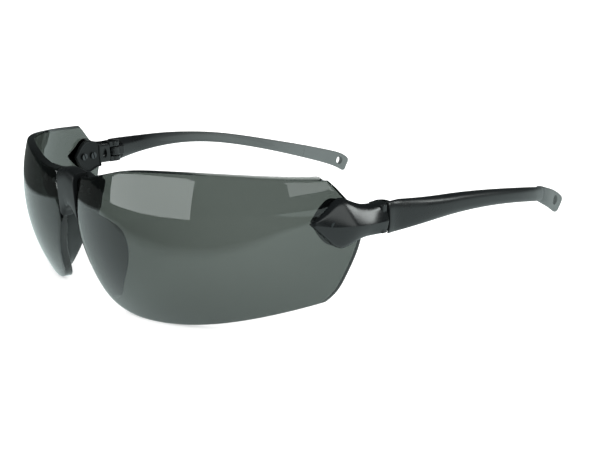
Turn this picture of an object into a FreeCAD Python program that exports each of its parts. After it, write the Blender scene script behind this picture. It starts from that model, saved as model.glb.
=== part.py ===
import FreeCAD, Part
import math
import os
import sys

from FreeCAD import Placement, Rotation, Vector

# Rimless wrap-round safety glasses: two ball-shaped tinted lenses, a black centre bridge,
# soft nose pads, endpieces clamped on the lenses, and bowed temples on folding hinges.
# Millimetres. +Z is up, the wearer looks along -Y, and +X is the wearer's left.
# The origin is on the surface that the glasses rest on, under the middle of their box.

SIZES = [
    ("lens_radius", 54.6, "outer radius of a lens, a nine and three quarter base curve"),
    ("lens_wall", 2.2, "lens thickness"),
    ("lens_centre_x", 15.7, "ball centre of the left lens, out from the middle"),
    ("lens_centre_y", -31.9, "ball centre, along the glasses"),
    ("lens_centre_z", 24.5, "ball centre, above the surface"),
    ("seat_gap", 0.06, "gap between a lens and a piece seated on it"),
    ("end_wall", 2.9, "endpiece thickness outside the lens"),
    ("clamp_wall", 1.6, "clamp plate thickness inside the lens"),
    ("wing_wall", 1.9, "bridge wing thickness behind the lens"),
    ("bridge_front", -85.6, "front face of the bridge"),
    ("bridge_depth", 5.0, "bridge thickness from front to back"),
    ("bridge_round", 0.9, "rounding of the bridge's front and back rims"),
    ("pivot_x", 69.6, "hinge axis, out from the middle"),
    ("pivot_y", -31.5, "hinge axis, along the glasses"),
    ("knuckle_low", 23.4, "underside of the lower knuckle"),
    ("knuckle_radius", 2.3, "outside radius of the hinge knuckles"),
    ("outer_knuckle", 2.0, "height of the endpiece's upper and lower knuckles"),
    ("middle_knuckle", 3.3, "height of the temple's knuckle"),
    ("knuckle_play", 0.2, "gap above and below the temple's knuckle"),
    ("block_step", 0.3, "hinge block's faces, in from the knuckles"),
    ("block_outer", 1.6, "hinge block's outer face, out from the hinge axis"),
    ("block_front", 6.8, "hinge block's front end, ahead of the ball centre"),
    ("block_ease", 0.4, "hinge block's top and bottom, in from the knuckle stack's"),
    ("web_front", 0.6, "knuckle web's front face, ahead of the knuckle"),
    ("web_rear", 0.9, "knuckle web's rear face, ahead of the hinge axis"),
    ("web_overlap", 0.5, "knuckle web's reach into the outer skin"),
    ("window_front", 5.2, "front end of the hinge block's pocket, ahead of the axis"),
    ("window_rear", 3.6, "rear end of that pocket, ahead of the axis"),
    ("window_deep", 1.5, "far side of that pocket, in from the knuckle's inner side"),
    ("window_ends", 2.4, "top and bottom of that pocket, in from the knuckle stack's"),
    ("leaf_inner", 1.6, "temple hinge leaf's inner face, in from the axis"),
    ("leaf_outer", 2.4, "temple hinge leaf's outer face, out from the axis"),
    ("leaf_rear", 1.2, "temple hinge leaf's reach past the arm's first section"),
    ("skin_rear", 0.6, "temple skin's reach past the arm's first section"),
    ("seam_y", -32.4, "rear end of the endpiece's outer skin"),
    ("seam_gap", 0.35, "open seam between endpiece and temple"),
    ("skin_inner_x", 72.15, "inner face of the skin that covers the hinge"),
    ("pin_radius", 0.7, "hinge screw shank"),
    ("pin_fit", 0.05, "running clearance round the hinge screw"),
    ("pin_head", 1.35, "hinge screw head radius"),
    ("pin_head_tall", 0.8, "hinge screw head height"),
    ("slot_wide", 0.4, "driver slot width"),
    ("slot_deep", 0.35, "driver slot depth"),
    ("screw_radius", 0.8, "clamp screw and rivet shank"),
    ("screw_fit", 0.08, "clearance round a clamp screw or a rivet"),
    ("screw_head", 1.25, "clamp screw head radius"),
    ("screw_head_tall", 0.6, "clamp screw head height"),
    ("screw_reach", 1.6, "length that a clamp screw goes into the endpiece"),
    ("rivet_reach", 1.3, "length that a bridge rivet goes into the lens"),
    ("rivet_head", 1.15, "bridge rivet head radius"),
    ("rivet_head_tall", 0.5, "bridge rivet head height"),
    ("cord_hole", 1.85, "radius of the cord hole in a temple tip"),
    ("cord_hole_back", 6.2, "cord hole centre, in from the end of the tip"),
    ("tongue_share", 0.5, "tongue section inside the tip, as a share of the arm's"),
]

# Left lens edge, seen from the front as (x, z above the ball centre).
NASAL_EDGE = [
    (5.3, 12.0), (5.3, 4.0), (5.7, -3.0), (7.5, -8.0), (9.4, -13.0), (11.3, -18.0), (14.8, -21.9),
]
LOWER_EDGE = [
    (14.8, -21.9), (21.0, -24.0), (29.4, -24.5), (40.8, -23.8), (50.0, -22.3), (62.0, -19.2), (76.0, -15.0),
]
UPPER_EDGE = [
    (76.0, 11.5), (63.0, 15.2), (52.0, 17.0), (38.0, 17.6), (25.0, 16.6), (14.7, 14.2), (7.3, 13.2),
]
# The same lens edge seen from the side, as (y from the ball centre, z above it).
SHOULDER_EDGE = [(-22.0, 26.0), (-19.2, 17.6), (-15.4, 14.4), (-12.4, 10.8), (-9.6, 7.7), (-7.2, 6.6)]
TEMPORAL_EDGE = [
    (-7.2, -1.0), (-8.4, -4.8), (-11.0, -11.2), (-12.9, -15.5), (-16.0, -18.6), (-22.0, -20.5), (-40.0, -27.0),
]
# Endpiece and clamp plate outlines from the side, as (y from the ball centre, z above it).
DIAMOND_TOP = [
    (-21.9, 4.3), (-17.4, 7.4), (-13.4, 9.9), (-11.0, 9.0), (-7.6, 7.5), (-4.0, 7.1), (-0.5, 7.2),
]
DIAMOND_LOW = [
    (-0.5, -1.5), (-4.0, -1.4), (-8.2, -1.6), (-11.2, -2.6), (-14.0, -3.1), (-17.4, -0.6), (-21.9, 4.3),
]
CLAMP_TOP = [(-19.0, 3.9), (-16.4, 7.2), (-13.4, 9.1), (-10.4, 8.2), (-7.3, 7.0)]
CLAMP_LOW = [(-7.3, -1.6), (-10.4, -2.2), (-13.4, -3.0), (-16.4, -1.1), (-19.0, 3.9)]
# Bridge wing behind the left lens and bridge arch, from the front.
WING_TOP = [(3.2, 13.6), (9.0, 13.1), (16.8, 13.4)]
WING_SIDE = [(16.8, 13.4), (16.6, 10.0), (15.7, 7.0), (13.0, 4.2)]
WING_LOW = [(13.0, 4.2), (9.5, 4.7), (6.5, 5.0), (3.2, 3.2)]
ARCH_HALF_WIDE = 4.9
ARCH_FOOT, ARCH_CROWN = -0.6, 3.4      # underside of the arch, at its sides and middle
BROW_SIDE, BROW_TOP = 13.6, 14.6      # top of the arch, at its sides and middle

# Nose pad of the left lens, one row a level: z above the ball centre, where the pad leaves the
# lens (x), and its rear edge (x, y from the ball centre).
PAD_LEVELS = [
    (3.0, 5.7, 6.2, -49.2), (0.3, 5.8, 6.7, -45.8), (-2.8, 6.3, 8.9, -42.8),
    (-6.0, 7.4, 11.1, -42.0), (-9.5, 8.7, 12.8, -42.5), (-13.0, 10.0, 14.2, -43.8),
    (-16.5, 11.3, 15.2, -45.6), (-19.6, 13.2, 16.6, -47.2),
]
PAD_WALL = 1.5
# Shares of half the pad's wall, inner and outer, at its middle and near its rear edge.
PAD_INNER_MIDDLE, PAD_OUTER_MIDDLE = 1.0, 1.3
PAD_INNER_REAR, PAD_OUTER_REAR = 0.7, 0.9
PAD_REAR_BULGE = 0.5      # how far the rounded rear edge stands out

# Left temple, one row a station: centre (x, y, z), height and thickness.
TEMPLE = [
    (71.5, -28.6, 27.2, 8.7, 3.6), (74.8, -18.2, 27.3, 6.9, 3.4), (76.7, -7.4, 27.2, 5.7, 3.1),
    (78.6, 9.5, 25.9, 4.6, 2.8), (78.1, 26.4, 23.2, 4.4, 2.7), (74.2, 38.5, 20.4, 4.5, 2.6),
    (67.6, 49.8, 17.3, 4.9, 2.5), (61.6, 61.6, 13.7, 5.7, 2.4), (57.4, 73.2, 9.8, 6.5, 2.4),
    (56.2, 81.0, 6.4, 7.0, 2.4), (56.3, 84.3, 4.2, 6.8, 2.1),
]
TIP_FROM = 7      # station where the soft tip takes over from the hard arm
GRIP_FROM, GRIP_TO = 2, 6
GRIP_TALL, GRIP_DEEP, GRIP_PROUD = 0.52, 0.8, 0.35
SECTION_POINTS = 12
SECTION_POWER = 0.72      # under 1 squares the oval section up
FAR = 90.0      # longer than any piece
TINY = 0.01

doc = FreeCAD.newDocument("safety_glasses")
sheet = doc.addObject("Spreadsheet::Sheet", "sizes")
for row, (alias, value, note) in enumerate(SIZES, start=1):
    sheet.set(f"A{row}", alias)
    sheet.set(f"B{row}", str(value))
    sheet.set(f"C{row}", note)
    sheet.setAlias(f"B{row}", alias)
doc.recompute()


def dim(alias):
    return float(sheet.get(alias))


CENTRE = Vector(dim("lens_centre_x"), dim("lens_centre_y"), dim("lens_centre_z"))
PIVOT = Vector(dim("pivot_x"), dim("pivot_y"), 0)
LENS_INNER = dim("lens_radius") - dim("lens_wall")
SHANK_HOLE = "sizes.screw_radius + sizes.screw_fit"
nodes = {}


def bind(obj, **expressions):
    """Ties an object's properties to spreadsheet expressions; a double underscore stands for a dot."""
    for name, expression in expressions.items():
        obj.setExpression(name.replace("__", "."), expression)
    return obj


def ball(name, radius):
    """A ball about the left lens's centre, with its seam at the rear."""
    obj = bind(doc.addObject("Part::Sphere", name), Radius=radius)
    obj.Placement = Placement(CENTRE, Rotation(Vector(0, 0, 1), 90))
    return bind(obj, Placement__Base__x="sizes.lens_centre_x", Placement__Base__y="sizes.lens_centre_y",
                Placement__Base__z="sizes.lens_centre_z")


def two(kind, name, base, tool):
    """A boolean of two objects: Part::Cut, Part::Common or Part::Fuse."""
    obj = doc.addObject(kind, name)
    obj.Base, obj.Tool = base, tool
    return obj


def fused(name, members):
    obj = doc.addObject("Part::MultiFuse", name)
    obj.Shapes = members
    return obj


def common(name, members):
    obj = doc.addObject("Part::MultiCommon", name)
    obj.Shapes = members
    return obj


def grouped(name, members):
    obj = doc.addObject("Part::Compound", name)
    obj.Links = members
    return obj


def shell(name, outer, inner):
    """The skin between two balls, given as radius expressions."""
    return two("Part::Cut", name, ball(name + "_outside", outer), ball(name + "_inside", inner))


def curve(points):
    """A smooth curve through a few points, or a line through two."""
    vectors = [Vector(a, b, 0) for a, b in points]
    if len(vectors) == 2:
        return Part.LineSegment(*vectors)
    spline = Part.BSplineCurve()
    spline.interpolate(vectors)
    return spline


def prism(name, stretches, facing, offset, start, length):
    """A sketched outline pushed straight along +Y ("front") or +X ("side").

    The outline is a loop of curves, each through its own points."""
    sketch = doc.addObject("Sketcher::SketchObject", name + "_outline")
    if facing == "front":
        sketch.Placement = Placement(Vector(0, start, offset.z), Rotation(Vector(1, 0, 0), 90))
        direction = Vector(0, 1, 0)
    else:
        turn = Rotation(Vector(0, 1, 0), Vector(0, 0, 1), Vector(1, 0, 0), "XYZ")
        sketch.Placement = Placement(Vector(start, offset.y, offset.z), turn)
        direction = Vector(1, 0, 0)
    for points in stretches:
        sketch.addGeometry(curve(points), False)
    solid = doc.addObject("Part::Extrusion", name)
    solid.Base, solid.DirMode, solid.Dir, solid.Solid = sketch, "Custom", direction, True
    solid.LengthFwd = length
    return solid


def cylinder(name, radius, height, at, along=Vector(0, 0, 1)):
    """A round bar from a point along a direction, with its radius and height bound to the sheet."""
    obj = bind(doc.addObject("Part::Cylinder", name), Radius=radius, Height=height)
    obj.Placement = Placement(at, Rotation(Vector(0, 0, 1), along))
    return obj


def block(name, low, high):
    """A box between two corners."""
    obj = doc.addObject("Part::Box", name)
    obj.Length, obj.Width, obj.Height = high.x - low.x, high.y - low.y, high.z - low.z
    obj.Placement = Placement(low, Rotation())
    return obj


def feature(name, shape):
    obj = doc.addObject("Part::Feature", name)
    obj.Shape = shape
    return obj


def keep(obj, name):
    """Labels a finished sub-part and lists it as a node."""
    obj.Label = name
    nodes[name] = obj
    return obj


def keep_pair(left, name):
    """Keeps a left-hand sub-part and its mirror image about the middle plane."""
    keep(left, name + "_left")
    right = doc.addObject("Part::Mirroring", name + "_mirror")
    right.Source, right.Normal, right.Base = left, Vector(1, 0, 0), Vector(0, 0, 0)
    keep(right, name + "_right")


def on_ball(x, z, radius):
    """The front point of a ball about the left lens's centre at a front view place."""
    across = x - CENTRE.x
    return CENTRE + Vector(across, -math.sqrt(radius ** 2 - across ** 2 - z ** 2), z)


def spoke(y, z):
    """Direction from the ball centre through a side view place on the lens's inner face."""
    return Vector(math.sqrt(LENS_INNER ** 2 - y ** 2 - z ** 2), y, z).normalize()


# Lenses -----------------------------------------------------------------------------------

# Directions of the two clamp screws and the two bridge rivets from the ball centre.
CLAMP_SPOKES = [spoke(y, z) for y, z in ((-15.6, 3.4), (-11.2, 3.2))]
RIVET_SPOKES = [(on_ball(x, z, LENS_INNER) - CENTRE).normalize() for x, z in ((8.6, 9.6), (13.2, 9.8))]


def lens_holes():
    """The left lens's through holes for the clamp screws and blind holes for the bridge rivets."""
    through = "sizes.lens_wall + 2 * sizes.screw_head_tall"
    blind = "sizes.rivet_reach + sizes.screw_head_tall + sizes.seat_gap"
    drills = []
    for along, depth in [(a, through) for a in CLAMP_SPOKES] + [(a, blind) for a in RIVET_SPOKES]:
        start = CENTRE + along * (LENS_INNER - dim("screw_head_tall"))
        drills.append(cylinder(f"lens_drill_{len(drills) + 1}", SHANK_HOLE, depth, start, along))
    return fused("lens_drills", drills)


front_view = prism("lens_front", [
    NASAL_EDGE, LOWER_EDGE, [LOWER_EDGE[-1], UPPER_EDGE[0]], UPPER_EDGE, [UPPER_EDGE[-1], NASAL_EDGE[0]],
], "front", CENTRE, -FAR, FAR + dim("lens_centre_y") + dim("lens_radius"))
low_corner, high_corner = (-FAR, TEMPORAL_EDGE[-1][1]), (-FAR, SHOULDER_EDGE[0][1])
side_view = prism("lens_side", [
    SHOULDER_EDGE, [SHOULDER_EDGE[-1], TEMPORAL_EDGE[0]], TEMPORAL_EDGE,
    [TEMPORAL_EDGE[-1], low_corner], [low_corner, high_corner], [high_corner, SHOULDER_EDGE[0]],
], "side", CENTRE, 0, FAR)
lens_blank = common("lens_blank", [
    shell("lens_skin", "sizes.lens_radius", "sizes.lens_radius - sizes.lens_wall"), front_view, side_view,
])
lens = two("Part::Cut", "lens", lens_blank, lens_holes())
keep_pair(lens, "lens")

# Bridge -----------------------------------------------------------------------------------

body = doc.addObject("PartDesign::Body", "bridge_core")
arch = body.newObject("Sketcher::SketchObject", "arch_sketch")
plane = next(f for f in body.Origin.OriginFeatures if f.Role == "XZ_Plane")
arch.AttachmentSupport, arch.MapMode = [(plane, "")], "FlatFace"
arch.setExpression("AttachmentOffset.Base.z", "-sizes.bridge_front")
arch.setExpression("AttachmentOffset.Base.y", "sizes.lens_centre_z")
feet = Vector(-ARCH_HALF_WIDE, ARCH_FOOT, 0), Vector(ARCH_HALF_WIDE, ARCH_FOOT, 0)
brows = Vector(-ARCH_HALF_WIDE, BROW_SIDE, 0), Vector(ARCH_HALF_WIDE, BROW_SIDE, 0)
arch.addGeometry(Part.Arc(feet[0], Vector(0, ARCH_CROWN, 0), feet[1]), False)
arch.addGeometry(Part.LineSegment(feet[1], brows[1]), False)
arch.addGeometry(Part.Arc(brows[1], Vector(0, BROW_TOP, 0), brows[0]), False)
arch.addGeometry(Part.LineSegment(brows[0], feet[0]), False)
pad = body.newObject("PartDesign::Pad", "arch_pad")
pad.Profile = arch
pad.setExpression("Length", "sizes.bridge_depth")
pad.Reversed = True
doc.recompute()
rims = [f"Edge{n}" for n, edge in enumerate(pad.Shape.Edges, start=1)
        if edge.BoundBox.YLength < TINY and edge.BoundBox.XLength > ARCH_HALF_WIDE]
rounding = body.newObject("PartDesign::Fillet", "arch_rounding")
rounding.Base = (pad, rims)
rounding.setExpression("Radius", "sizes.bridge_round")

wing_outline = prism("wing_front", [
    WING_TOP, WING_SIDE, WING_LOW, [WING_LOW[-1], WING_TOP[0]],
], "front", CENTRE, -FAR, FAR + dim("lens_centre_y"))
wing_outer = "sizes.lens_radius - sizes.lens_wall - sizes.seat_gap"
wing_ball = shell("wing_ball", wing_outer, wing_outer + " - sizes.wing_wall")
wing_skin = common("wing_skin", [wing_ball, wing_outline])
rivets = []
wing_drills = []
rivet_long = "sizes.rivet_head_tall + 2 * sizes.seat_gap + sizes.wing_wall + sizes.rivet_reach"
wing_rear = LENS_INNER - dim("seat_gap") - dim("wing_wall")
for number, along in enumerate(RIVET_SPOKES, start=1):
    start = CENTRE + along * (wing_rear - dim("rivet_head_tall") - dim("seat_gap"))
    shank = cylinder(f"rivet_shank_{number}", "sizes.screw_radius", rivet_long, start, along)
    head = cylinder(f"rivet_head_{number}", "sizes.rivet_head", "sizes.rivet_head_tall", start, along)
    rivets.append(fused(f"rivet_{number}", [shank, head]))
    wing_drills.append(cylinder(f"wing_drill_{number}", SHANK_HOLE, "2 * sizes.wing_wall", start, along))
wing = two("Part::Cut", "wing", wing_skin, fused("wing_drills", wing_drills))
wing_mirror = doc.addObject("Part::Mirroring", "wing_mirror")
wing_mirror.Source, wing_mirror.Normal = wing, Vector(1, 0, 0)
keep(fused("bridge", [body, wing, wing_mirror]), "bridge")
keep_pair(grouped("rivets", rivets), "bridge_rivets")

# Nose pads --------------------------------------------------------------------------------


def pad_section(level, root_x, rear_x, rear_y):
    """One level of the pad: a thin blade from just behind the lens to its rounded rear edge."""
    root = on_ball(root_x, level, LENS_INNER - 2 * dim("seat_gap"))
    root_out = on_ball(root_x + PAD_WALL, level, LENS_INNER - 2 * dim("seat_gap"))
    rear = Vector(rear_x, CENTRE.y + rear_y, root.z)
    middle = (root + rear) * 0.5
    run = (rear - root).normalize()
    outer = Vector(run.y, -run.x, 0) * (PAD_WALL / 2)
    corners = [root, middle - outer * PAD_INNER_MIDDLE, rear - outer * PAD_INNER_REAR,
               rear + run * PAD_REAR_BULGE, rear + outer * PAD_OUTER_REAR,
               middle + outer * PAD_OUTER_MIDDLE, root_out]
    spline = Part.BSplineCurve()
    spline.interpolate(corners)
    return Part.Wire([spline.toShape(), Part.makeLine(corners[-1], corners[0])])


pad_shape = Part.makeLoft([pad_section(*row) for row in PAD_LEVELS], True, False)
keep_pair(feature("nose_pad", pad_shape), "nose_pad")

# Endpieces, clamp plates and their screws ---------------------------------------------------

end_outline = prism("end_side", [DIAMOND_TOP, [DIAMOND_TOP[-1], DIAMOND_LOW[0]], DIAMOND_LOW],
                    "side", CENTRE, dim("lens_centre_x"), FAR)
end_inner = "sizes.lens_radius + sizes.seat_gap"
end_skin = common("end_skin", [shell("end_ball", end_inner + " + sizes.end_wall", end_inner), end_outline])
knuckle_tall = 2 * dim("outer_knuckle") + 2 * dim("knuckle_play") + dim("middle_knuckle")
knuckle_low = dim("knuckle_low")
knuckle_top = knuckle_low + knuckle_tall
middle_low = knuckle_low + dim("outer_knuckle")
upper_low = knuckle_top - dim("outer_knuckle")
inner_side = PIVOT.x - dim("knuckle_radius")
front_side = PIVOT.y - dim("knuckle_radius")
hinge_block = block(
    "hinge_block",
    Vector(inner_side + dim("block_step"), CENTRE.y - dim("block_front"), knuckle_low + dim("block_ease")),
    Vector(PIVOT.x + dim("block_outer"), front_side - dim("block_step"), knuckle_top - dim("block_ease")))
knuckles = []
for word, low in (("lower", knuckle_low), ("upper", upper_low)):
    knuckles.append(cylinder(f"{word}_knuckle", "sizes.knuckle_radius", "sizes.outer_knuckle",
                             Vector(PIVOT.x, PIVOT.y, low)))
    knuckles.append(block(
        f"{word}_web",
        Vector(inner_side + dim("block_step"), front_side - dim("web_front"), low),
        Vector(dim("skin_inner_x") + dim("web_overlap"), PIVOT.y - dim("web_rear"),
               low + dim("outer_knuckle"))))
end_solid = fused("end_solid", [end_skin, hinge_block] + knuckles)
knuckle_room = cylinder("knuckle_room", "sizes.knuckle_radius + sizes.seam_gap",
                        "sizes.middle_knuckle + 2 * sizes.knuckle_play", Vector(PIVOT.x, PIVOT.y, middle_low))
pin_bore = cylinder("end_pin_bore", "sizes.pin_radius + sizes.pin_fit / 2", str(FAR), PIVOT)
head_bore = cylinder("end_head_bore", "sizes.pin_head + sizes.pin_fit", str(FAR),
                     Vector(PIVOT.x, PIVOT.y, knuckle_top - dim("pin_head_tall")))
block_window = block(
    "block_window",
    Vector(inner_side, PIVOT.y - dim("window_front"), knuckle_low + dim("window_ends")),
    Vector(inner_side + dim("window_deep"), PIVOT.y - dim("window_rear"), knuckle_top - dim("window_ends")))
end_drills = []
clamp_drills = []
clamp_screws = []
clamp_seat = LENS_INNER - dim("seat_gap") - dim("clamp_wall")
grip_long = "sizes.clamp_wall + 3 * sizes.seat_gap + sizes.lens_wall + sizes.screw_reach"
for number, along in enumerate(CLAMP_SPOKES, start=1):
    seat = CENTRE + along * (clamp_seat - dim("seat_gap"))
    head_at = seat - along * dim("screw_head_tall")
    shank = cylinder(f"clamp_shank_{number}", "sizes.screw_radius", grip_long, seat, along)
    head = cylinder(f"clamp_head_{number}", "sizes.screw_head", "sizes.screw_head_tall", head_at, along)
    slot = block(f"clamp_slot_{number}", Vector(), Vector(2 * FAR, dim("slot_wide"), FAR))
    slot.Placement = Placement(head_at, Rotation(Vector(0, 0, 1), along)).multiply(
        Placement(Vector(-FAR, -dim("slot_wide") / 2, dim("slot_deep") - FAR), Rotation()))
    bar = fused(f"clamp_bar_{number}", [shank, head])
    clamp_screws.append(two("Part::Cut", f"clamp_screw_{number}", bar, slot))
    end_run = grip_long + " + sizes.screw_fit"
    end_drills.append(cylinder(f"end_drill_{number}", SHANK_HOLE, end_run, seat, along))
    clamp_run = "2 * sizes.clamp_wall"
    clamp_drills.append(cylinder(f"clamp_drill_{number}", SHANK_HOLE, clamp_run, head_at, along))
bores = fused("end_bores", [knuckle_room, pin_bore, head_bore, block_window] + end_drills)
keep_pair(two("Part::Cut", "endpiece", end_solid, bores), "endpiece")

clamp_outline = prism("clamp_side", [CLAMP_TOP, [CLAMP_TOP[-1], CLAMP_LOW[0]], CLAMP_LOW],
                      "side", CENTRE, dim("lens_centre_x"), FAR)
clamp_outer = "sizes.lens_radius - sizes.lens_wall - sizes.seat_gap"
clamp_ball = shell("clamp_ball", clamp_outer, clamp_outer + " - sizes.clamp_wall")
clamp_skin = common("clamp_skin", [clamp_ball, clamp_outline])
keep_pair(two("Part::Cut", "clamp", clamp_skin, fused("clamp_drills", clamp_drills)), "clamp_plate")
keep_pair(grouped("clamp_screw_pair", clamp_screws), "clamp_screws")

# Hinge screw --------------------------------------------------------------------------------

pin = cylinder("pin_shank", "sizes.pin_radius", str(knuckle_tall - dim("pin_head_tall")),
               Vector(PIVOT.x, PIVOT.y, knuckle_low))
pin_top = cylinder("pin_top", "sizes.pin_head", "sizes.pin_head_tall",
                   Vector(PIVOT.x, PIVOT.y, knuckle_top - dim("pin_head_tall")))
pin_slot = block(
    "pin_slot",
    Vector(PIVOT.x - FAR, PIVOT.y - dim("slot_wide") / 2, knuckle_top - dim("slot_deep")),
    Vector(PIVOT.x + FAR, PIVOT.y + dim("slot_wide") / 2, FAR))
pin_bar = fused("pin_bar", [pin, pin_top])
keep_pair(two("Part::Cut", "hinge_screw", pin_bar, pin_slot), "hinge_screw")

# Temples ------------------------------------------------------------------------------------

path = Part.BSplineCurve()
path.interpolate([Vector(*row[:3]) for row in TEMPLE])


def temple_frame(station):
    """Centre, upward and inward directions of a temple section."""
    centre = Vector(*TEMPLE[station][:3])
    along = Vector(*path.tangent(path.parameter(centre))[0])
    up = (Vector(0, 0, 1) - along * along.z).normalize()
    return centre, up, up.cross(along).normalize()


def oval(centre, up, side, tall, thick):
    """A closed oval section with squared-up corners."""
    points = []
    for step in range(SECTION_POINTS):
        angle = 2 * math.pi * step / SECTION_POINTS
        rise, width = math.sin(angle), math.cos(angle)
        rise = math.copysign(abs(rise) ** SECTION_POWER, rise) * tall / 2
        width = math.copysign(abs(width) ** SECTION_POWER, width) * thick / 2
        points.append(centre + up * rise + side * width)
    spline = Part.BSplineCurve()
    spline.interpolate(points, PeriodicFlag=True)
    return Part.Wire([spline.toShape()])


def temple_loft(stations, share=1.0):
    wires = []
    for station in stations:
        centre, up, side = temple_frame(station)
        tall, thick = TEMPLE[station][3:5]
        wires.append(oval(centre, up, side, tall * share, thick * share))
    return Part.makeLoft(wires, True, False)


last = len(TEMPLE) - 1
blank = feature("temple_blank", temple_loft(range(last + 1)))
split_at, split_up, split_side = temple_frame(TIP_FROM)
split_along = split_side.cross(split_up)
rear_half = block("rear_half", Vector(-FAR, -FAR, 0), Vector(FAR, FAR, FAR))
rear_half.Placement = Placement(split_at, Rotation(Vector(0, 0, 1), split_along)).multiply(
    Placement(Vector(-FAR, -FAR, 0), Rotation()))
tongue = feature("tongue", temple_loft(range(TIP_FROM - 1, TIP_FROM + 2), dim("tongue_share")))
grip_wires = []
for station in range(GRIP_FROM, GRIP_TO + 1):
    centre, up, side = temple_frame(station)
    tall, thick = TEMPLE[station][3:5]
    middle = centre + side * (thick / 2 - GRIP_DEEP / 2 + GRIP_PROUD)
    grip_wires.append(oval(middle, up, side, tall * GRIP_TALL, GRIP_DEEP))
grip = feature("grip", Part.makeLoft(grip_wires, True, False))

skin_low, skin_high = CENTRE.z + DIAMOND_LOW[0][1], CENTRE.z + DIAMOND_TOP[-1][1]
front_skin = common("front_skin", [
    shell("front_ball", end_inner + " + sizes.end_wall", "sizes.lens_radius"),
    block("front_room", Vector(dim("skin_inner_x"), dim("seam_y") + dim("seam_gap"), skin_low),
          Vector(FAR, TEMPLE[0][1] + dim("skin_rear"), skin_high)),
])
leaf_low = middle_low + dim("knuckle_play")
leaf_round = cylinder("leaf_round", "sizes.knuckle_radius", "sizes.middle_knuckle",
                      Vector(PIVOT.x, PIVOT.y, leaf_low))
leaf = block(
    "leaf",
    Vector(PIVOT.x - dim("leaf_inner"), PIVOT.y, leaf_low),
    Vector(PIVOT.x + dim("leaf_outer"), TEMPLE[0][1] + dim("leaf_rear"), leaf_low + dim("middle_knuckle")))
arm_front = two("Part::Cut", "arm_front", blank, rear_half)
arm_solid = fused("arm_solid", [arm_front, tongue, front_skin, leaf_round, leaf])
pin_room = cylinder("pin_room", "sizes.pin_radius + sizes.pin_fit", str(FAR), PIVOT)
arm_cuts = fused("arm_cuts", [grip, pin_room])
keep_pair(two("Part::Cut", "temple_arm", arm_solid, arm_cuts), "temple_arm")
keep_pair(grip, "temple_grip")

path_length = path.toShape().Length
hole_at = path.value(path.parameterAtDistance(path_length - dim("cord_hole_back"), path.FirstParameter))
hole_along = Vector(*path.tangent(path.parameter(hole_at))[0])
hole_up = (Vector(0, 0, 1) - hole_along * hole_along.z).normalize()
hole_side = hole_up.cross(hole_along).normalize()
print("cord hole", [round(v, 4) for v in hole_at], "axis", [round(v, 4) for v in hole_side])
hole = cylinder("cord_hole_drill", "sizes.cord_hole", str(FAR), hole_at - hole_side * (FAR / 2), hole_side)
tip_rear = two("Part::Common", "tip_rear", blank, rear_half)
keep_pair(two("Part::Cut", "temple_tip", tip_rear, fused("tip_cuts", [tongue, hole])), "temple_tip")

# Checks and files ---------------------------------------------------------------------------

doc.recompute()
faults = [obj.Name for obj in doc.Objects if {"Invalid", "Error"} & set(obj.State)]
for name, obj in sorted(nodes.items()):
    shape = obj.Shape
    if shape.isNull() or not shape.isValid() or shape.Volume <= 0:
        faults.append(name)
    print(f"{name:22s} solids {len(shape.Solids)} volume {shape.Volume:9.2f}")
if faults:
    sys.exit("these objects failed: " + ", ".join(faults))
os.makedirs("parts", exist_ok=True)
box = FreeCAD.BoundBox()
for name, obj in nodes.items():
    obj.Shape.exportStep(os.path.join("parts", name + ".step"))
    box.add(obj.Shape.BoundBox)
print("box", [round(v, 2) for v in (box.XMin, box.XMax, box.YMin, box.YMax, box.ZMin, box.ZMax)])
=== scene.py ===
import math

import bpy
import numpy as np
from mathutils import Matrix, Vector


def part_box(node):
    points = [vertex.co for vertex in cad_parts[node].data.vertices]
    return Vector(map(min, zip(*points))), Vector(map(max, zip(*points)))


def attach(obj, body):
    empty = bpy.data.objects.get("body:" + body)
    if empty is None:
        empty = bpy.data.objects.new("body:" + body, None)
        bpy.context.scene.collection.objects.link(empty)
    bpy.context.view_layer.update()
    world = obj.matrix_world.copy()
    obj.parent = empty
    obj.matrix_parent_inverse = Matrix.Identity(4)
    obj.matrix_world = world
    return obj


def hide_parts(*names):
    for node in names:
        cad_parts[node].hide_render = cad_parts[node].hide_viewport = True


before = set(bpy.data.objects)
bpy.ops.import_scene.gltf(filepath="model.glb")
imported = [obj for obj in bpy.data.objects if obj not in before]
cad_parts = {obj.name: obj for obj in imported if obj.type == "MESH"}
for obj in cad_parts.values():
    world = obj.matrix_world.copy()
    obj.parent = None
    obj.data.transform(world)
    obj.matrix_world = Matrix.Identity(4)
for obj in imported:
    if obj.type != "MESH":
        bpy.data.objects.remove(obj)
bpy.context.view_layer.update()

bl_info = {
    "name": "Safety glasses",
    "version": (1, 0, 0),
    "blender": (4, 5, 0),
    "location": "View3D > Sidebar > Glasses",
    "description": "Rimless wrap-round safety glasses, piece by piece, on their packed frame",
    "category": "Add Mesh",
}

# The frame is in metres: +Z is up, the wearer looks along -Y, and +X is the wearer's left.
# Lists are in millimetres, of the left-hand piece; the right-hand one is its mirror image.
MM = 0.001
SIDES = (("left", 1.0), ("right", -1.0))
UP = np.array([0.0, 0.0, 1.0])

# Temple stations: centre (x, y, z), height and thickness.
TEMPLE = [
    (71.5, -28.6, 27.2, 8.7, 3.6), (74.8, -18.2, 27.3, 6.9, 3.4), (76.7, -7.4, 27.2, 5.7, 3.1),
    (78.6, 9.5, 25.9, 4.6, 2.8), (78.1, 26.4, 23.2, 4.4, 2.7), (74.2, 38.5, 20.4, 4.5, 2.6),
    (67.6, 49.8, 17.3, 4.9, 2.5), (61.6, 61.6, 13.7, 5.7, 2.4), (57.4, 73.2, 9.8, 6.5, 2.4),
    (56.2, 81.0, 6.4, 7.0, 2.4), (56.3, 84.3, 4.2, 6.8, 2.1),
]
TIP_STATION = 7
GRIP_STATIONS = (2, 6)
# Power of the outer side of the temple's section, which one would make half round.
TEMPLE_ROUND = 0.85
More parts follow.
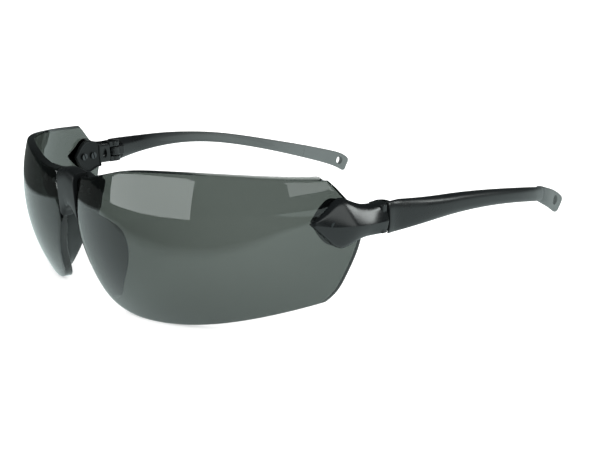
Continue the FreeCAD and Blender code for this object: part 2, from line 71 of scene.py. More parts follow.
# Outlines from the side, as (y from the ball centre, z above it).
DIAMOND_TOP = [
    (-21.9, 4.3), (-17.4, 7.4), (-13.4, 9.9), (-11.0, 9.0), (-7.6, 7.5), (-4.0, 7.1), (-0.5, 7.2),
]
DIAMOND_LOW = [
    (-21.9, 4.3), (-17.4, -0.6), (-14.0, -3.1), (-11.2, -2.6), (-8.2, -1.6), (-4.0, -1.4), (-0.5, -1.5),
]
CLAMP_TOP = [(-19.0, 3.9), (-16.4, 7.2), (-13.4, 9.1), (-10.4, 8.2), (-7.3, 7.0)]
CLAMP_LOW = [(-7.3, -1.6), (-10.4, -2.2), (-13.4, -3.0), (-16.4, -1.1), (-19.0, 3.9)]
# Bridge from the front: x, underside and top, both above the ball centre.
BRIDGE_SPAN = [
    (0.0, 3.4, 14.6), (1.6, 2.9, 14.5), (3.2, 1.5, 14.1), (4.3, 0.1, 13.8), (4.9, -0.6, 13.6),
    (5.4, 1.2, 13.5), (6.5, 4.6, 13.3), (9.5, 4.6, 13.1), (12.0, 4.3, 13.1), (13.5, 4.7, 13.2),
    (15.0, 6.2, 13.3), (15.9, 7.6, 13.3), (16.5, 9.8, 13.2), (16.75, 12.6, 12.9),
]
# Nose pad: height above the ball centre, where it leaves the lens (x), its rear edge (x, y).
PAD_LEVELS = [
    (3.0, 5.7, 6.2, -49.2), (0.3, 5.8, 6.7, -45.8), (-2.8, 6.3, 8.9, -42.8),
    (-6.0, 7.4, 11.1, -42.0), (-9.5, 8.7, 12.8, -42.5), (-13.0, 10.0, 14.2, -43.8),
    (-16.5, 11.3, 15.2, -45.6), (-19.6, 13.2, 16.6, -47.2),
]

# Inner edge of the dark reflection card, in metres, and the way it runs out from there.
CARD_EDGE = [
    (0.400, -0.020), (0.179, -0.103), (0.077, -0.108), (0.029, -0.126), (-0.068, -0.190),
    (-0.150, -0.220), (-0.190, 0.0), (-0.190, 0.600),
]
CARD_AWAY = [
    (1.0, -0.5), (0.5, -0.85), (0.5, -0.85), (0.3, -0.95), (0.0, -1.0), (-0.7, -0.7), (-1.0, 0.0),
    (-1.0, 0.3),
]


# Sizes and colours


def length(name, description, default):
    return bpy.props.FloatProperty(
        name=name, description=description, default=default, unit="LENGTH", precision=5)


def point(name, description, default):
    return bpy.props.FloatVectorProperty(
        name=name, description=description, default=default, subtype="XYZ_LENGTH", size=3, precision=5)


def share(name, description, default, highest=10.0):
    return bpy.props.FloatProperty(name=name, description=description, default=default, min=0.0, max=highest)


def colour(name, description, default):
    return bpy.props.FloatVectorProperty(
        name=name, description=description, default=default, subtype="COLOR", size=3, min=0.0, max=1.0)


def angle(name, description, degrees):
    return bpy.props.FloatProperty(
        name=name, description=description, default=math.radians(degrees), subtype="ANGLE")


class LensSizes(bpy.types.PropertyGroup):
    """Sizes of the lenses and of what is seated on them"""

    centre: point("Ball centre", "Centre of the left lens's ball", (0.0157, -0.0319, 0.0245))
    radius: length("Ball radius", "Outer radius of a lens", 0.0546)
    wall: length("Thickness", "Lens thickness", 0.0022)
    rim: length("Rim rounding", "Rounding of the lens's polished edge", 0.00028)
    gap: length("Seat gap", "Gap between a lens and a piece seated on it", 0.00006)
    end_wall: length("Endpiece", "Endpiece thickness at its ridge", 0.0029)
    end_edge: length("Endpiece edge", "Endpiece thickness at its edge", 0.0009)
    clamp_wall: length("Clamp plate", "Clamp plate thickness", 0.0016)
    clamp_bead: length("Clamp bead", "Height of the bead round the clamp plate", 0.0003)
    wing_wall: length("Bridge wing", "Thickness of the bridge's wings", 0.0019)
    bridge_front: length("Bridge front", "Front face of the bridge", -0.0856)
    bridge_depth: length("Bridge depth", "Bridge thickness from front to back", 0.0050)
    pad_wall: length("Nose pad", "Thickness of a nose pad", 0.0015)


class HingeSizes(bpy.types.PropertyGroup):
    """Sizes of the hinges and temples"""

    pivot: point("Hinge axis", "Left hinge axis, at its lower end", (0.0696, -0.0315, 0.0234))
    knuckle: length("Knuckle radius", "Outside radius of the knuckles", 0.0023)
    outer_tall: length("Outer knuckles", "Height of the endpiece's knuckles", 0.0020)
    middle_tall: length("Middle knuckle", "Height of the temple's knuckle", 0.0033)
    play: length("Play", "Gap above and below the temple's knuckle", 0.0002)
    seam: length("Seam", "Open seam between endpiece and temple", 0.00035)
    cover_inner: length("Cover", "Inner face of the temple's cover over the hinge", 0.07215)
    ease: length("Edge rounding", "Rounding of moulded edges", 0.00035)
    cord_hole: length("Cord hole", "Radius of the hole in a temple tip", 0.00185)
    cord_hole_back: length("Cord hole place", "Cord hole centre, in from the end of the tip", 0.0062)
    grip_proud: length("Inlay height", "How far the inlay stands out of the arm", 0.00035)


class Finishes(bpy.types.PropertyGroup):
    """Colours and finishes"""

    tint: colour("Lens tint", "What the lens lets through, against its density", (0.02, 0.085, 0.045))
    tint_density: share("Lens density", "How strongly a metre of lens darkens", 1210.0, 5000.0)
    lens_ior: share("Lens index", "Refractive index of polycarbonate", 1.585)
    black: colour("Black nylon", "Moulded black nylon", (0.004, 0.005, 0.0055))
    satin: colour("Satin black", "The same nylon towards the rear, where it is duller", (0.012, 0.0155, 0.0155))
    inlay: colour("Inlay", "Soft grey inlay", (0.078, 0.093, 0.091))
    inside: colour("Inside", "Inner face of an arm at its rear", (0.103, 0.122, 0.120))
    tip: colour("Tip", "Soft dark tip", (0.105, 0.125, 0.122))
    pad: colour("Nose pad", "Smoky soft pad", (0.007, 0.010, 0.010))
    steel: colour("Steel", "Blackened steel", (0.045, 0.048, 0.05))
    gloss: share("Gloss roughness", "Roughness of the polished front pieces", 0.17, 1.0)
    satin_roughness: share("Satin roughness", "Roughness of the duller pieces", 0.48, 1.0)


class Studio(bpy.types.PropertyGroup):
    """Camera and light"""

    eye: point("Camera", "Camera place", (0.200, -0.1783, 0.0832))
    azimuth: angle("Azimuth", "Camera heading, from looking along +Y", 47.88)
    elevation: angle("Elevation", "Camera height angle", 16.54)
    roll: angle("Roll", "Camera roll", -1.67)
    focal: share("Focal length", "Focal length in millimetres on a 36 mm sensor", 46.38, 500.0)
    sky: share("Soft light", "Strength of the even light all round", 1.25, 50.0)
    front_box: share("Front softbox", "Power of the softbox in front, in watts", 1.7, 500.0)
    side_box: share("Side softbox", "Power of the softbox at the left, in watts", 0.38, 500.0)
    back_box: share("Rear softbox", "Power of the softbox behind the left hinge, in watts", 0.50, 500.0)


class SafetyGlasses(bpy.types.PropertyGroup):
    """Everything that a user may change"""

    lens: bpy.props.PointerProperty(name="Lenses", description="Lens sizes", type=LensSizes)
    hinge: bpy.props.PointerProperty(name="Hinges", description="Hinge and temple sizes", type=HingeSizes)
    finish: bpy.props.PointerProperty(name="Finishes", description="Colours and finishes", type=Finishes)
    studio: bpy.props.PointerProperty(name="Studio", description="Camera and light", type=Studio)


def settings():
    return bpy.context.scene.safety_glasses


# Surfaces


def travelled(points, axes=3):
    """Distance covered at each row of points, along their first axes."""
    return np.r_[0.0, np.cumsum(np.linalg.norm(np.diff(points[:, :axes], axis=0), axis=1))]


def spline(points, at, axes=3):
    """Natural cubic spline through rows of points, at shares of the distance along their first axes."""
    p = np.asarray(points, float)
    t = travelled(p, axes)
    step, slope = np.diff(t), np.diff(p, axis=0) / np.diff(t)[:, None]
    n = len(p)
    matrix, right = np.eye(n), np.zeros_like(p)
    inner = np.arange(1, n - 1)
    matrix[inner, inner] = 2 * (step[:-1] + step[1:])
    matrix[inner, inner - 1], matrix[inner, inner + 1] = step[:-1], step[1:]
    right[1:-1] = 6 * np.diff(slope, axis=0)
    bend = np.linalg.solve(matrix, right)
    x = np.clip(np.asarray(at, float), 0, 1) * t[-1]
    i = np.clip(np.searchsorted(t, x, side="right") - 1, 0, n - 2)
    a, b, h = (t[i + 1] - x)[:, None], (x - t[i])[:, None], step[i][:, None]
    cubic = (bend[i] * a ** 3 + bend[i + 1] * b ** 3) / (6 * h)
    return cubic + (p[i] / h - bend[i] * h / 6) * a + (p[i + 1] / h - bend[i + 1] * h / 6) * b


def temple_share(station):
    """Share of the temple's length at which a station lies."""
    run = travelled(np.array(TEMPLE))
    return run[station] / run[-1]


def unit(vectors):
    """A vector, or each row of vectors, at length one."""
    return vectors / np.linalg.norm(vectors, axis=-1, keepdims=True)


def power(value, exponent):
    """A value's size raised to a power, with its sign kept."""
    return np.sign(value) * np.abs(value) ** exponent


def turn(count):
    return np.linspace(0, 2 * math.pi, count, endpoint=False)


def circle(radius, centre, side):
    """A circle in plan, with its x on the wanted side."""
    angles = turn(48)
    return (np.stack([np.cos(angles), np.sin(angles)], -1) * radius + centre) * (side, 1)


def ease(x):
    x = np.clip(x, 0, 1)
    return x * x * (3 - 2 * x)


def skin(rings, first=None, last=None):
    """Closed surface through rings of points, row after row, with one point closing each end.

    rings is an array of rows by points round by three. The faces are turned to point outwards."""
    rows, around = rings.shape[:2]
    first = rings[0].mean(0) if first is None else first
    last = rings[-1].mean(0) if last is None else last
    points = np.vstack([[first], rings.reshape(-1, 3), [last]])
    here = np.arange(around)
    after = np.roll(here, -1)
    base = 1 + around * np.arange(rows - 1)[:, None]
    quads = np.stack([base + here, base + after, base + around + after, base + around + here], -1)
    quads = quads.reshape(-1, 4)
    end = 1 + around * (rows - 1)
    fans = np.vstack([
        np.stack([np.zeros_like(here), after + 1, here + 1], -1),
        np.stack([np.full_like(here, len(points) - 1), end + here, end + after], -1),
    ])
    triangles = points[np.vstack([quads[:, [0, 1, 2]], quads[:, [0, 2, 3]], fans])]
    volume = np.einsum("ij,ij->i", triangles[:, 0], np.cross(triangles[:, 1], triangles[:, 2])).sum()
    if volume < 0:
        quads, fans = quads[:, ::-1], fans[:, ::-1]
    return points, quads, fans


def rounded(rings, size, first=True, last=True, steps=4):
    """The same rings with their end rims rounded: each end ring backs up by the size and shrinks in an arc.
    Rings that the arc would run into are dropped."""
    turns = np.linspace(0, math.pi / 2, steps)
    crowded, most = 1.05, 0.8
    for wanted, end, inner in ((first, 0, 1), (last, -1, -2)):
        if not wanted:
            continue
        ring = rings[end]
        middle = ring.mean(0)
        clear = np.linalg.norm(rings.mean(1) - middle, axis=1) > crowded * size
        clear[end] = True
        rings = rings[clear]
        along = unit(middle - rings[inner].mean(0))
        out = ring - middle
        reach = np.linalg.norm(out, axis=1, keepdims=True)
        inset = np.minimum(size, most * reach) / reach
        arc = np.array([middle + out * (1 - inset * (1 - math.cos(a))) - along * size * (1 - math.sin(a))
                        for a in turns])
        rings = np.concatenate([rings[:-1], arc] if end else [arc[::-1], rings[1:]])
    return rings


def linked(name, data):
    """An object in the scene that holds a mesh, a light or a camera."""
    made = bpy.data.objects.new(name, data)
    bpy.context.scene.collection.objects.link(made)
    return made


def smoothed(mesh):
    """Shades a mesh smooth, apart from its sharp edges."""
    mesh.polygons.foreach_set("use_smooth", np.ones(len(mesh.polygons), bool))
    mesh.set_sharp_from_angle(angle=math.radians(35))


def build(name, shells, finish, body, cad_node):
    """One object from closed shells, riding on a body and standing for a CAD node."""
    points, faces, start = [], [], 0
    for shell_points, quads, fans in shells:
        points.append(shell_points)
        faces += (quads + start).tolist() + (fans + start).tolist()
        start += len(shell_points)
    mesh = bpy.data.meshes.new(name)
    mesh.from_pydata(np.vstack(points).tolist(), [], faces)
    smoothed(mesh)
    mesh.materials.append(finish)
    mesh.update()
    piece = linked(name, mesh)
    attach(piece, body)
    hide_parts(cad_node)
    return piece


def pair(piece, cad_node, shells, finish, swings=False):
    """A piece on both sides, from a function that gives the shells of a side. It rides on the front, or on
    the temples if it swings."""
    made = []
    for name, side in SIDES:
        body = f"temple_{name}" if swings else "front"
        made.append(build(f"{piece}_{name}", shells(side), finish, body, f"{cad_node}_{name}"))
    return made


def on_ball(radius, y, z):
    """Points of a ball about the left lens's centre, from their y and z above that centre, in metres."""
    centre = np.array(settings().lens.centre)
    reach = np.sqrt(np.maximum(radius ** 2 - y ** 2 - z ** 2, 0))
    return centre + np.stack([reach, y + 0 * z, z + 0 * y], -1)


# Lenses


def lens_edge(cad_node, centre, radius, middle, across, upward, around):
    """Angle at the ball centre from a lens's middle to its edge, in every direction round the middle.

    It is read from the rim of the CAD lens's ball face: the edges that only one of its triangles has."""
    near, merge, least = 0.03 * MM, 0.002 * MM, 1e-9
    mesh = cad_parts[cad_node].data
    points = np.empty(len(mesh.vertices) * 3)
    mesh.vertices.foreach_get("co", points)
    points = points.reshape(-1, 3)
    corners = np.empty(len(mesh.loops), int)
    mesh.loops.foreach_get("vertex_index", corners)
    triangles = corners.reshape(-1, 3)
    away = points - centre
    far = np.linalg.norm(away, axis=1)
    face = triangles[(np.abs(far - radius) < near)[triangles].all(1)]
    keys = np.unique(np.round(points / merge).astype(int), axis=0, return_inverse=True)[1].ravel()
    pairs = np.concatenate([face[:, [0, 1]], face[:, [1, 2]], face[:, [2, 0]]])
    named = np.sort(keys[pairs], axis=1)
    _, index, count = np.unique(named, axis=0, return_index=True, return_counts=True)
    rim = pairs[index[count == 1]]
    direction = away / far[:, None]
    opening = np.arccos(np.clip(direction @ middle, -1, 1))
    heading = np.arctan2(direction @ upward, direction @ across)
    start, gap = heading[rim[:, 0]], heading[rim[:, 1]] - heading[rim[:, 0]]
    gap = (gap + math.pi) % (2 * math.pi) - math.pi
    gap = np.where(np.abs(gap) < least, least, gap)
    ahead = (turn(around)[:, None] - start + math.pi) % (2 * math.pi) - math.pi
    place = ahead / gap
    low, high = opening[rim[:, 0]], opening[rim[:, 1]]
    found = np.where((place >= 0) & (place <= 1), low + place * (high - low), 0)
    return found.max(1)


def lens_shells(side):
    """A ball shell: rings about the lens's middle spread over the outer ball to its edge, roll over the
    polished rim by quarter turns, and close in again over the inner ball."""
    sizes = settings().lens
    centre = np.array(sizes.centre) * (side, 1, 1)
    outer, inner, rim = sizes.radius, sizes.radius - sizes.wall, sizes.rim
    cad_node = "lens_left" if side > 0 else "lens_right"
    low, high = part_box(cad_node)
    middle = unit((np.array(low) + np.array(high)) / 2 - centre)
    across = unit(np.cross(UP, middle))
    upward = np.cross(middle, across)
    around, rows = 512, 30
    headings = turn(around)[:, None]
    ring_way = np.cos(headings) * across + np.sin(headings) * upward
    outer_edge, inner_edge = (
        lens_edge(cad_node, centre, radius, middle, across, upward, around) for radius in (outer, inner))

    def ring(radius, opening):
        return centre + radius * (np.cos(opening)[:, None] * middle + np.sin(opening)[:, None] * ring_way)

    def roll(radius, edge, quarter, sign):
        """The ring part of a quarter turn over the rim, inside or outside its ball."""
        return ring(radius - sign * rim * (1 - math.cos(quarter)),
                    edge - rim / radius * (1 - math.sin(quarter)))

    quarters = np.linspace(0, math.pi / 2, 4)
    spread = np.linspace(1 / rows, 1, rows)
    rings = [ring(outer, (outer_edge - rim / outer) * s) for s in spread]
    rings += [roll(outer, outer_edge, q, 1) for q in quarters[1:]]
    rings += [roll(inner, inner_edge, q, -1) for q in quarters[:0:-1]]
    rings += [ring(inner, (inner_edge - rim / inner) * s) for s in spread[::-1]]
    return [skin(np.array(rings), centre + outer * middle, centre + inner * middle)]


# Seated pieces


def bridge_shells():
    """A rounded oblong section carried across the nose: its underside and top follow the span list, and its
    front steps back from the bridge's front face to the inner ball where each lens lies over a wing."""
    sizes = settings().lens
    centre = np.array(sizes.centre)
    crowding, squareness, rim = 0.38, 0.42, 0.3 * MM
    lap_start, lap_run = 5.0 * MM, 0.2 * MM
    arch_half, arch_run = 6.5 * MM, 5 * MM
    half = np.array(BRIDGE_SPAN) * MM
    outline = np.vstack([half[:0:-1] * (-1, 1, 1), half])
    x = np.linspace(-1, 1, 181)
    x = half[-1, 0] * ((1 - crowding) * x + crowding * x ** 3)
    low, high = (np.interp(x, outline[:, 0], outline[:, column]) for column in (1, 2))
    blur = np.array([1, 2, 3, 2, 1]) / 9
    low[2:-2], high[2:-2] = np.convolve(low, blur, "valid"), np.convolve(high, blur, "valid")
    x, low, high = x[:, None], low[:, None], high[:, None]
    angles = turn(48)
    rise, run = power(np.sin(angles), squareness), power(np.cos(angles), squareness)
    z = (low + high) / 2 + rise * (high - low) / 2
    beyond = np.abs(x) - centre[0]
    under = sizes.radius - sizes.wall - sizes.gap
    front_wing = centre[1] - np.sqrt(under ** 2 - beyond ** 2 - z ** 2)
    front = sizes.bridge_front + (front_wing - sizes.bridge_front) * ease((np.abs(x) - lap_start) / lap_run)
    rear_wing = centre[1] - np.sqrt((under - sizes.wing_wall) ** 2 - beyond ** 2 - z ** 2)
    rear_arch = sizes.bridge_front + sizes.bridge_depth
    rear = rear_wing + (rear_arch - rear_wing) * ease((arch_half - np.abs(x)) / arch_run)
    y = (front + rear) / 2 - run * (rear - front) / 2
    return [skin(rounded(np.stack([np.broadcast_to(x, z.shape), y, z + centre[2]], -1), rim))]


def pad_shells(side):
    """A thin blade lofted down the nose: at each height a long rounded section runs from just behind the lens
    to the pad's rear edge, thickest past its middle; both ends close in a quarter turn."""
    sizes = settings().lens
    centre = np.array(sizes.centre)
    rows, bluntness, hollow = 40, 16, 0.55 * MM
    at = 0.5 - 0.5 * np.cos(np.linspace(0, math.pi, rows))
    level, root_x, rear_x, rear_y = (spline(PAD_LEVELS, at, 1) * MM).T
    seat = sizes.radius - sizes.wall - 3 * sizes.gap
    middle_x = root_x + sizes.pad_wall / 2
    root_y = centre[1] - np.sqrt(seat ** 2 - (middle_x - centre[0]) ** 2 - level ** 2)
    root = np.stack([middle_x, root_y, level], -1)
    run = np.stack([rear_x, centre[1] + rear_y, level], -1) - root
    outward = unit(run)[:, [1, 0, 2]] * (-1, 1, 0)
    closing = np.sqrt(np.clip(1 - (2 * at - 1) ** bluntness, 0.02, 1))[:, None]
    angles = turn(40)
    along = 0.5 - 0.5 * power(np.cos(angles), 0.8)
    swell = power(np.sin(angles), 0.7) * (0.8 + 0.55 * along - 0.5 * along ** 3)
    cup = hollow * np.sin(math.pi * along)
    points = root[:, None] + run[:, None] * (along * (0.9 + 0.1 * closing))[..., None]
    points = points + outward[:, None] * (swell * sizes.pad_wall / 2 * closing - cup)[..., None]
    points[..., 2] += centre[2]
    return [skin(points * (side, 1, 1))]


def endpiece_shells(side):
    """A soft diamond on the lens: for each y the section runs from its lower to its upper outline, with a low
    wall at the edge and two long slopes that meet in a ridge; its inner face lies on the ball. The hinge's
    outer knuckles go with it."""
    sizes = settings().lens
    rows, crowding, crease = 64, 1.5, 1.9
    drop, full_height, rear_rise = 0.16, 0.55, 0.9 * MM
    progress = np.linspace(0.0, 1.0, rows)[:, None] ** crowding
    start, end = DIAMOND_TOP[0][0], DIAMOND_TOP[-1][0]
    y = start + (end - start) * progress
    fine = np.linspace(0, 1, 400)
    high, deep = (np.interp(y, *spline(outline, fine, 2).T) * MM for outline in (DIAMOND_TOP, DIAMOND_LOW))
    y = y * MM
    angles = turn(64)
    across = power(np.sin(angles), crease)
    half = np.maximum((high - deep) / 2, 0.05 * MM)
    z = (high + deep) / 2 + half * (across - drop * (1 - across ** 2) * progress)
    facing = np.maximum(np.cos(angles), 0)
    ridge = sizes.end_edge + (sizes.end_wall - sizes.end_edge) * ease(progress / full_height)
    edge = sizes.end_edge + rear_rise * ease((progress - 0.7) / 0.3)
    wall = edge * np.sqrt(ease(progress / 0.05)) * (1 - across ** 12) ** 0.5 * (facing > 0)
    tall = wall + (ridge - edge) * facing ** crease
    seat = sizes.radius + sizes.gap
    rings = rounded(on_ball(seat + tall, np.broadcast_to(y, z.shape), z)[1:], 0.2 * MM, first=False)
    corner = on_ball(seat, y[:1, 0], high[:1, 0])[0]
    return [skin(rings * (side, 1, 1), corner * (side, 1, 1))] + hinge_shells(side)


def clamp_shells(side):
    """The clamp outline drawn in to its middle in rings: outer face on the lens, rounded wall, raised bead,
    and the flat floor that the screw heads sit on, all on balls about the lens's centre."""
    sizes = settings().lens
    side_run = np.linspace(0, 1, 56, endpoint=False)
    rear_edge = np.linspace(CLAMP_TOP[-1], CLAMP_LOW[0], 22)[:-1]
    outline = np.vstack([spline(CLAMP_TOP, side_run, 2), rear_edge, spline(CLAMP_LOW, side_run, 2)]) * MM
    middle = outline.mean(0)
    out = outline - middle
    reach = np.linalg.norm(out, axis=1, keepdims=True)
    seat = sizes.radius - sizes.wall - sizes.gap
    deep, bead = sizes.clamp_wall / MM, (sizes.clamp_wall + sizes.clamp_bead) / MM
    # How far in from the outline, and how far in from the lens, each ring lies, in millimetres.
    profile = np.array([
        (3.0, 0), (1.0, 0), (0.25, 0), (0.06, 0.08), (0, 0.3), (0, deep - 0.3), (0.02, bead - 0.35),
        (0.12, bead - 0.1), (0.35, bead), (0.6, bead - 0.02), (0.78, bead - 0.15), (0.85, deep), (1.4, deep),
        (3.0, deep),
    ]) * MM
    planes = [middle + out * np.maximum(1 - inset / reach, 0.25) for inset in profile[:, 0]]
    rings = [on_ball(seat - depth, *plane.T) for plane, depth in zip(planes, profile[:, 1])]
    return [skin(np.array(rings) * (side, 1, 1))]


# Hinges and temples


def bar(outline, low, high, size):
    """A closed outline in plan carried straight up from one height to another, with rounded rims."""
    heights = np.linspace(low, high, 6)
    rings = np.empty((len(heights), len(outline), 3))
    rings[..., :2] = outline
    rings[..., 2] = heights[:, None]
    return skin(rounded(rings, size))


def oblong(low, high, squareness):
    """A superellipse between two corners: the cosine and sine of the turn, each raised to a small power."""
    low, high = np.asarray(low), np.asarray(high)
    angles = turn(48)
    spread = np.stack([power(np.cos(angles), squareness), power(np.sin(angles), squareness)], -1)
    return (low + high) / 2 + spread * (high - low) / 2


def hinge_stack():
    """Heights of the knuckles: the lower one's bottom and top, the middle one's, and the upper one's."""
    sizes = settings().hinge
    steps = (0, sizes.outer_tall, sizes.play, sizes.middle_tall, sizes.play, sizes.outer_tall)
    return sizes.pivot[2] + np.cumsum(steps)


def hinge_shells(side):
    """The endpiece's share of a hinge: a block with an oval pocket in its inner face, two round knuckles,
    and the webs that tie them to the outer skin."""
    sizes = settings().hinge
    x, y, _ = sizes.pivot
    stack = hinge_stack()
    r = sizes.knuckle
    inner, outer = x - r + 0.3 * MM, x + 1.6 * MM
    front, rear = settings().lens.centre[1] - 6.8 * MM, y - r - 0.3 * MM
    face = oblong((front, stack[0] + 0.4 * MM), (rear, stack[-1] - 0.4 * MM), 0.3)
    half_wide, floor_clear = 0.85 * MM, 2.3 * MM
    halfway = (front + rear) / 2
    pocket = oblong((halfway - half_wide, stack[0] + floor_clear),
                    (halfway + half_wide, stack[-1] - floor_clear), 0.85)
    middle = face.mean(0)
    # Outline, its scale about the face's middle, and its depth along x, from the outer skin into the pocket.
    profile = [
        (face, 0.5, outer), (face, 0.97, outer), (face, 1, outer - 0.15 * MM), (face, 1, inner + 0.25 * MM),
        (face, 0.97, inner + 0.07 * MM), (face, 0.9, inner), (pocket, 1.25, inner),
        (pocket, 1.04, inner + 0.06 * MM), (pocket, 1, inner + 0.25 * MM), (pocket, 1, inner + 1.1 * MM),
        (pocket, 0.8, inner + 1.25 * MM),
    ]
    block = np.array([np.column_stack([np.full(len(plane), depth), middle + (plane - middle) * scale])
                      for plane, scale, depth in profile])
    shells = [skin(block * (side, 1, 1))]
    web = oblong((x - 0.9 * r, y - r - 0.6 * MM), (sizes.cover_inner + 0.5 * MM, y - 0.9 * MM), 0.3)
    for bottom, top in ((stack[0], stack[1]), (stack[4], stack[5])):
        shells.append(bar(circle(r, (x, y), side), bottom, top, sizes.ease))
        shells.append(bar(web * (side, 1), bottom + 0.02 * MM, top - 0.02 * MM, 0.2 * MM))
    return shells


def temple_line(at):
    """Centre, height, thickness, and upward and inward directions of the temple at shares of its length."""
    line, small = np.array(TEMPLE) * MM, 1e-3
    at = np.asarray(at)
    rows = spline(line, at)
    along = unit((spline(line, at + small) - spline(line, at - small))[:, :3])
    upward = unit(UP - along * along[:, 2:])
    return rows[:, :3], rows[:, 3], rows[:, 4], upward, np.cross(upward, along)


def section(centre, tall, thick, upward, inward, outer_power, inner_power=0.6, around=56, lean=0.0):
    """Rings of a squared oval: its height is a power of the sine and its width a power of the cosine. A high
    power on the outer side draws that side to a soft lengthwise ridge. Lean moves the top and the bottom
    outwards, by a share of half the thickness."""
    angles = turn(around)
    rise = power(np.sin(angles), 0.74)
    cosine = np.cos(angles)
    exponent = np.where(cosine < 0, np.reshape(outer_power, (-1, 1)), inner_power)
    width = power(cosine, exponent) - np.reshape(lean, (-1, 1)) * np.sin(angles) ** 2
    return (centre[:, None] + upward[:, None] * (rise * tall[:, None] / 2)[..., None]
            + inward[:, None] * (width * thick[:, None] / 2)[..., None])


def arm_shells(side):
    """The arm's section carried along the temple line. In front of the line's start it thins to a cover over
    the hinge, square to the seam. A leaf and the middle knuckle reach in to the hinge axis."""
    lens, sizes = settings().lens, settings().hinge
    lean, rim, leaf_rear = 0.44, 0.12 * MM, -27.4 * MM
    at = np.linspace(0, temple_share(TIP_STATION), 90)
    centre, tall, thick, upward, inward = temple_line(at)
    ridge = TEMPLE_ROUND + 0.7 * (1 - ease(at / 0.75))
    body = section(centre, tall, thick, upward, inward, ridge, lean=lean * (1 - ease(at / 0.16)))
    y = lens.centre[1] - 0.5 * MM + sizes.seam + np.array([0, 0.8, 1.6, 2.35]) * MM
    rows = len(y)
    spine = np.stack([np.full(rows, body[0, :, 0].max() - thick[0] / 2), y, np.full(rows, centre[0, 2])], -1)
    cover = section(spine, np.full(rows, tall[0]), np.full(rows, thick[0]), np.tile(UP, (rows, 1)),
                    np.tile((-1.0, 0.0, 0.0), (rows, 1)), ridge[:rows], lean=lean)
    cover[..., 0] = np.maximum(cover[..., 0], sizes.cover_inner)
    rings = np.concatenate([rounded(cover, rim, last=False), body[1:]])
    x, axis_y, _ = sizes.pivot
    low, high = hinge_stack()[2:4]
    leaf = oblong((x - 1.6 * MM, axis_y + 0.4 * MM), (x + 2.4 * MM, leaf_rear), 0.25)
    return [skin(rounded(rings, rim, first=False) * (side, 1, 1)),
            bar(circle(sizes.knuckle, (x, axis_y), side), low, high, sizes.ease),
            bar(leaf * (side, 1), low + 0.03 * MM, high - 0.03 * MM, 0.25 * MM)]


def tip_shells(side):
    """The same section from the split to the end of the temple, closed in a half turn at the end."""
    rings = section(*temple_line(np.linspace(temple_share(TIP_STATION), 1, 70)), TEMPLE_ROUND)
    rings = rounded(rings, 0.12 * MM, last=False)
    return [skin(rounded(rings, 1.5 * MM, first=False, steps=9) * (side, 1, 1))]


def inlay_shells(side):
    """A thin oval strip on the arm's inner face, drawn to a point at both ends."""
    proud, sunk, wall, width = settings().hinge.grip_proud, 0.4 * MM, 0.8 * MM, 0.52
    start, end = (temple_share(station) for station in GRIP_STATIONS)
    reach = np.linspace(-1, 1, 80)
    centre, tall, thick, upward, inward = temple_line(start + (end - start) * (reach + 1) / 2)
    narrow = np.sqrt(1 - (0.999 * reach) ** 4)
    middle = centre + inward * (thick / 2 - sunk + proud * (0.35 + 0.65 * narrow))[:, None]
    rings = section(middle, tall * width * np.maximum(narrow, 0.1), wall * (0.5 + 0.5 * narrow), upward, inward,
                    0.6, 0.75, 40)
    return [skin(rings * (side, 1, 1))]


# Materials


def group(name, inputs, outputs):
    """A new node group with float or colour sockets; returns its tree, its input node and its output node."""
    tree = bpy.data.node_groups.new(name, "ShaderNodeTree")
    for socket, kind, default in inputs:
        made = tree.interface.new_socket(socket, in_out="INPUT", socket_type=kind)
        made.default_value = default
    for socket, kind in outputs:
        tree.interface.new_socket(socket, in_out="OUTPUT", socket_type=kind)
    return tree, tree.nodes.new("NodeGroupInput"), tree.nodes.new("NodeGroupOutput")


def feed(tree, made, **sources):
    """Links sockets to a node's inputs, by name."""
    for key, source in sources.items():
        tree.links.new(source, made.inputs[key.replace("_", " ")])


def preset(made, **values):
    """Sets a node's inputs, or else its own settings, by name."""
    for key, value in values.items():
        socket = key.replace("_", " ")
        if socket in made.inputs:
            made.inputs[socket].default_value = value
        else:
            setattr(made, key, value)


def node(tree, kind, links=(), **values):
    """A node with its named inputs set or linked; links are (input name, from socket)."""
    made = tree.nodes.new(kind)
    preset(made, **values)
    for socket, source in links:
        tree.links.new(source, made.inputs[socket])
    return made


def own_place(tree):
    return node(tree, "ShaderNodeTexCoord").outputs["Object"]


def noise(tree, place, **values):
    return node(tree, "ShaderNodeTexNoise", [("Vector", place)], **values)


def maths(tree, operation, first, second=None, clamp=False):
    """The result of arithmetic on one or two sockets."""
    links = [(0, first)] if second is None else [(0, first), (1, second)]
    return node(tree, "ShaderNodeMath", links, operation=operation, use_clamp=clamp).outputs[0]


def span(tree, source, from_low, from_high, to_low, to_high):
    """A value moved from one range to another, and held inside it."""
    return node(tree, "ShaderNodeMapRange", [("Value", source)], From_Min=from_low, From_Max=from_high,
                To_Min=to_low, To_Max=to_high).outputs["Result"]


def grain_group():
    """Fine moulded grain: two noises, one fine and one coarse, as a height."""
    tree, entry, leave = group(
        "moulded_grain", [("Fineness", "NodeSocketFloat", 6000.0)], [("Height", "NodeSocketFloat")])
    place = own_place(tree)
    fine = noise(tree, place, Detail=3.0)
    feed(tree, fine, Scale=entry.outputs["Fineness"])
    coarse = noise(tree, place, Scale=700.0, Detail=4.0)
    mixed = node(tree, "ShaderNodeMix", [("A", fine.outputs["Fac"]), ("B", coarse.outputs["Fac"])], Factor=0.4)
    feed(tree, leave, Height=mixed.outputs["Result"])
    return tree


